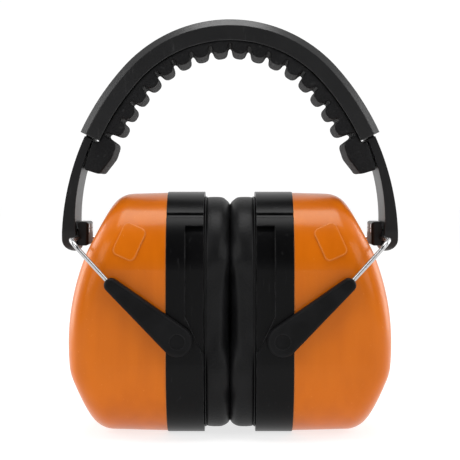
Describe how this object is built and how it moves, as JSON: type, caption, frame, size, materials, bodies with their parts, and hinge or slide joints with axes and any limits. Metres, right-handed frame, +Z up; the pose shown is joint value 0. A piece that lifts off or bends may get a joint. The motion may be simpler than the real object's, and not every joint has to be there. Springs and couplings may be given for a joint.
{
  "type": "earmuff hearing protector",
  "caption": "Over-the-head hearing protector with orange domed cups, soft ear cushions, wire yokes and a padded, height-adjustable headband.",
  "frame": {"origin": "on the floor, midway between the two closed cups, at the middle of the bounding box's base", "axes": "+Z up towards the top of the headband, X from cup to cup with the right-hand cup at +X, +Y to the back"},
  "size_m": [0.1352, 0.0906, 0.1657],
  "materials": {
    "band_plastic": "black plastic with a fine grain and a satin edge",
    "comb_foam": "matt black soft foamed rubber",
    "spring_steel": "satin spring steel",
    "bright_steel": "bright plated steel",
    "wire_steel": "bright drawn steel wire",
    "arm_plastic": "satin black plastic",
    "sleeve_rubber": "matt black rubber",
    "shell_plastic": "satin orange plastic",
    "ring_plastic": "satin black plastic",
    "cushion_skin": "soft black smooth vinyl",
    "cushion_foam": "grey soft foam",
    "absorber_foam": "dark grey open foam"
  },
  "bodies": {
    "headband": {"headband_cover": "band_plastic", "spring_strip": "spring_steel", "comb_cushion": "comb_foam", "guide_rivets": "bright_steel", "left_slide_guide": "arm_plastic", "right_slide_guide": "arm_plastic"},
    "left_arm": {"left_arm_plate": "arm_plastic", "left_wire_keeper": "arm_plastic", "left_keeper_screws": "bright_steel"},
    "left_yoke": {"left_wire_yoke": "wire_steel", "left_front_sleeve": "sleeve_rubber", "left_rear_sleeve": "sleeve_rubber"},
    "left_cup": {"left_shell": "shell_plastic", "left_base_ring": "ring_plastic", "left_cushion_plate": "ring_plastic", "left_ear_cushion": "cushion_skin", "left_cushion_foam": "cushion_foam", "left_absorber_foam": "absorber_foam"},
    "right_arm": {"right_arm_plate": "arm_plastic", "right_wire_keeper": "arm_plastic", "right_keeper_screws": "bright_steel"},
    "right_yoke": {"right_wire_yoke": "wire_steel", "right_front_sleeve": "sleeve_rubber", "right_rear_sleeve": "sleeve_rubber"},
    "right_cup": {"right_shell": "shell_plastic", "right_base_ring": "ring_plastic", "right_cushion_plate": "ring_plastic", "right_ear_cushion": "cushion_skin", "right_cushion_foam": "cushion_foam", "right_absorber_foam": "absorber_foam"}
  },
  "joints": [
    {"name": "left_arm_slide", "type": "slide", "parent": "headband", "child": "left_arm", "axis": [-0.5331, 0, -0.8461], "range_m": [0, 0.019]},
    {"name": "left_yoke_swing", "type": "hinge", "parent": "left_arm", "child": "left_yoke", "pos_m": [-0.0613, 0, 0.0782], "axis": [0, 1, 0], "range_deg": [0, 40]},
    {"name": "left_cup_tilt", "type": "hinge", "parent": "left_yoke", "child": "left_cup", "pos_m": [-0.0203, 0, 0.0393], "axis": [0, 1, 0], "range_deg": [-6, 6], "deforming": ["left_ear_cushion", "left_cushion_foam"]},
    {"name": "right_arm_slide", "type": "slide", "parent": "headband", "child": "right_arm", "axis": [0.5331, 0, -0.8461], "range_m": [0, 0.019]},
    {"name": "right_yoke_swing", "type": "hinge", "parent": "right_arm", "child": "right_yoke", "pos_m": [0.0613, 0, 0.0782], "axis": [0, -1, 0], "range_deg": [0, 40]},
    {"name": "right_cup_tilt", "type": "hinge", "parent": "right_yoke", "child": "right_cup", "pos_m": [0.0203, 0, 0.0393], "axis": [0, -1, 0], "range_deg": [-6, 6], "deforming": ["right_ear_cushion", "right_cushion_foam"]}
  ]
}
